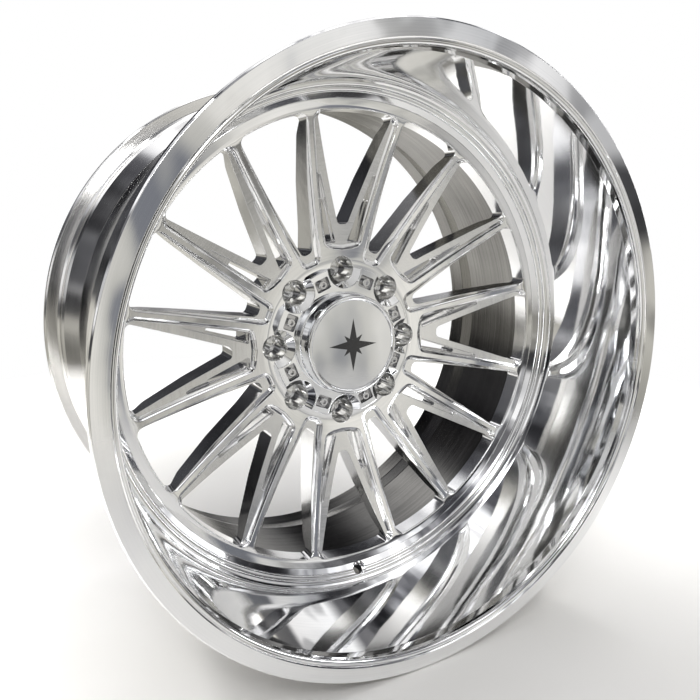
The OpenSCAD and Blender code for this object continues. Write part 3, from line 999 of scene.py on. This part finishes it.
def dull(name, dark, light, rough, grain, coat=0.0):
    """Paint or rubber."""
    mat, tree, shader = nodes_of(name)
    point = place_of(tree)
    mottle = noise(tree, point, 60.0, 4.0, 0.6)
    tree.links.new(ramp(tree, mottle, (0.3, dark), (0.7, light)),
                   shader.inputs["Base Color"])
    tree.links.new(remap(tree, mottle, *rough), shader.inputs["Roughness"])
    shader.inputs["Coat Weight"].default_value = coat
    shader.inputs["Coat Roughness"].default_value = 0.04
    bump(tree, shader, [(noise(tree, point, grain[0], 3.0), grain[1])])
    return mat


gloss_black = dull("gloss_black_inlay", (0.006, 0.006, 0.007), (0.016, 0.016, 0.018),
                   (0.12, 0.2), (300, 0.00001), coat=1.0)
rubber = dull("seal_rubber", (0.012, 0.012, 0.012), (0.03, 0.03, 0.03), (0.5, 0.68),
              (1200, 0.00003))

# ---- pieces ----

center.piece("center_face", [polished, polished, plate_metal, wall_metal, milled_metal,
                             back_metal], "polished_center", "forged_center")
outer.piece("rim_outer_barrel", [lip_metal, turned_out, bore_painted_shade, valve_shade_metal],
            "polished_lip", "outer_barrel")
inner.piece("rim_inner_barrel", [turned_out, turned_out, bore_painted_shade], "turned_barrel",
            "inner_barrel")
center_weld.piece("center_weld_bead", [weld_metal], "weld_metal", "center_weld")
seam_weld.piece("seam_weld_bead", [weld_metal], "weld_metal", "seam_weld")
base.piece("cap_base", [chrome, pocket_shade], "cap_chrome", "cap_body")
ring.piece("cap_ring", [chrome], "cap_chrome", "cap_bezel")
disc.piece("cap_disc", [mirror], "cap_mirror", "cap_face_plate")
for node, mat in (("cap_emblem", gloss_black), ("cap_o_ring", rubber),
                  ("cap_screws", steel), ("thread_inserts", insert_steel)):
    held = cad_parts[node]
    for s in held.material_slots:
        s.material = mat

# ---- floor, light and camera ----

scene = bpy.context.scene
FLOOR_R, FLOOR_Z, FLOOR_SIDES = 1.5, -0.3249, 96
FADE_FROM, FADE_TO = 0.75, 1.45
floor_mesh = bpy.data.meshes.new("floor")
spot = [(FLOOR_R * math.cos(2 * math.pi * k / FLOOR_SIDES),
         FLOOR_R * math.sin(2 * math.pi * k / FLOOR_SIDES), FLOOR_Z)
        for k in range(FLOOR_SIDES)]
floor_mesh.from_pydata(spot, [], [list(range(FLOOR_SIDES))])
floor = bpy.data.objects.new("floor", floor_mesh)
scene.collection.objects.link(floor)
floor_mat, tree, shader = nodes_of("studio_floor")
mottle = noise(tree, place_of(tree), 3.0, 3.0)
tree.links.new(ramp(tree, mottle, (0.3, (0.86, 0.85, 0.82)), (0.7, (0.9, 0.89, 0.87))),
               shader.inputs["Base Color"])
shader.inputs["Roughness"].default_value = 0.6
span = tree.nodes.new("ShaderNodeVectorMath")
span.operation = "LENGTH"
tree.links.new(place_of(tree), span.inputs[0])
faded = tree.nodes.new("ShaderNodeMixShader")
tree.links.new(remap(tree, span.outputs["Value"], 0, 1, FADE_FROM, FADE_TO),
               faded.inputs[0])
tree.links.new(shader.outputs[0], faded.inputs[1])
tree.links.new(tree.nodes.new("ShaderNodeBsdfTransparent").outputs[0], faded.inputs[2])
out = next(n for n in tree.nodes if n.type == "OUTPUT_MATERIAL")
tree.links.new(faded.outputs[0], out.inputs["Surface"])
floor_mesh.materials.append(floor_mat)

world = bpy.data.worlds.new("studio")
scene.world = world
world.use_nodes = True
tree = world.node_tree
background = next(n for n in tree.nodes if n.type == "BACKGROUND")
# bands of light and dark by height, times soft patches: the room that the metal
# reflects. Camera rays see plain white instead.
way = tree.nodes.new("ShaderNodeTexCoord").outputs["Generated"]
split = tree.nodes.new("ShaderNodeSeparateXYZ")
tree.links.new(way, split.inputs[0])
height = ramp(tree, remap(tree, split.outputs[2], 0, 1, -1, 1),
              (0.0, (0.34, 0.335, 0.32)), (0.40, (0.49, 0.48, 0.44)),
              (0.475, (0.62, 0.605, 0.56)), (0.487, (0.11, 0.11, 0.112)),
              (0.53, (0.08, 0.08, 0.085)), (0.545, (0.65, 0.65, 0.66)),
              (0.66, (0.75, 0.76, 0.78)), (0.69, (0.12, 0.12, 0.13)),
              (0.77, (0.2, 0.2, 0.21)), (0.80, (1.2, 1.21, 1.25)),
              (1.0, (1.5, 1.5, 1.52)))
stretch = tree.nodes.new("ShaderNodeVectorMath")
stretch.operation = "MULTIPLY_ADD"
stretch.inputs[1].default_value = (2.3, 2.3, 1.0)
stretch.inputs[2].default_value = (3.1, 0.0, 0.0)
tree.links.new(way, stretch.inputs[0])
cloud = noise(tree, stretch.outputs[0], 1.25, 3.0, 0.5)
fine = ramp(tree, noise(tree, stretch.outputs[0], 5.5, 2.0, 0.5),
            (0.43, (0.36, 0.36, 0.37)), (0.50, (1, 1, 1)))
sharp = ramp(tree, cloud, (0.41, (0.08, 0.08, 0.087)), (0.46, (0.26, 0.26, 0.27)),
             (0.50, (0.75, 0.75, 0.75)), (0.62, (1.4, 1.38, 1.35)))
soft = ramp(tree, cloud, (0.36, (0.30, 0.295, 0.29)), (0.6, (1.25, 1.24, 1.22)))
choice = tree.nodes.new("ShaderNodeMix")
choice.data_type = "RGBA"
tree.links.new(remap(tree, split.outputs[2], 1, 0, -0.22, -0.04), choice.inputs["Factor"])
tree.links.new(sharp, choice.inputs["A"])
tree.links.new(soft, choice.inputs["B"])
mix = tree.nodes.new("ShaderNodeMix")
mix.data_type, mix.blend_type = "RGBA", "MULTIPLY"
mix.inputs["Factor"].default_value = 1.0
tree.links.new(height, mix.inputs["A"])
tree.links.new(choice.outputs["Result"], mix.inputs["B"])
broken = tree.nodes.new("ShaderNodeMix")
broken.data_type, broken.blend_type = "RGBA", "MULTIPLY"
broken.inputs["Factor"].default_value = 0.7
tree.links.new(mix.outputs["Result"], broken.inputs["A"])
tree.links.new(fine, broken.inputs["B"])
# a pale area of the room, in front of the wheel face
ahead = tree.nodes.new("ShaderNodeVectorMath")
ahead.operation = "DOT_PRODUCT"
ahead.inputs[1].default_value = (0.26, -0.96, -0.1)
tree.links.new(way, ahead.inputs[0])
front = tree.nodes.new("ShaderNodeMix")
front.data_type = "RGBA"
tree.links.new(remap(tree, ahead.outputs["Value"], 0, 0.8, 0.86, 0.965),
               front.inputs["Factor"])
tree.links.new(broken.outputs["Result"], front.inputs["A"])
drift = noise(tree, stretch.outputs[0], 3.4, 2.0, 0.45)
tree.links.new(ramp(tree, drift, (0.40, (0.24, 0.25, 0.28)), (0.46, (0.64, 0.63, 0.59)),
                    (0.57, (0.9, 0.88, 0.83))), front.inputs["B"])
seen = tree.nodes.new("ShaderNodeMix")
seen.data_type = "RGBA"
seen.inputs["B"].default_value = (1, 1, 1, 1)
tree.links.new(tree.nodes.new("ShaderNodeLightPath").outputs["Is Camera Ray"],
               seen.inputs["Factor"])
tree.links.new(front.outputs["Result"], seen.inputs["A"])
tree.links.new(seen.outputs["Result"], background.inputs["Color"])
background.inputs["Strength"].default_value = 1.0


def softbox(name, at, target, size, power, spread=180):
    light = bpy.data.lights.new(name, "AREA")
    light.shape, light.size, light.size_y = "RECTANGLE", size[0], size[1]
    light.energy, light.spread = power, math.radians(spread)
    lamp = bpy.data.objects.new(name, light)
    lamp.location = at
    lamp.rotation_euler = (Vector(target) - Vector(at)).to_track_quat("-Z", "Y").to_euler()
    scene.collection.objects.link(lamp)
    lamp.visible_camera = False
    return lamp


softbox("key", (-1.3, -1.7, 1.9), (0, 0, 0), (1.3, 0.5), 16)
softbox("side", (2.3, -0.7, 0.9), (0, 0, 0), (0.4, 1.6), 12)
softbox("rear", (0.1, 1.4, 1.3), (0.1, 1.4, 0), (2.6, 1.2), 18, 60)
softbox("left", (-1.1, 0.3, 1.5), (-1.1, 0.3, 0), (0.7, 1.6), 13, 60)
softbox("right", (1.2, 0.5, 1.5), (1.2, 0.5, 0), (0.9, 1.6), 15, 60)

camera = bpy.data.cameras.new("camera")
camera.lens, camera.sensor_width = 33.67, 36
eye = bpy.data.objects.new("camera", camera)
right, upward = Vector((0.8741, -0.4858, 0)), Vector((0.0984, 0.1770, 0.9793))
back = right.cross(upward)
turn_to = Matrix((right, upward, back)).transposed()
eye.matrix_world = Matrix.Translation((-0.3811, -0.7717, 0.1547)) @ turn_to.to_4x4()
scene.collection.objects.link(eye)
scene.camera = eye
scene.view_settings.view_transform = "Standard"
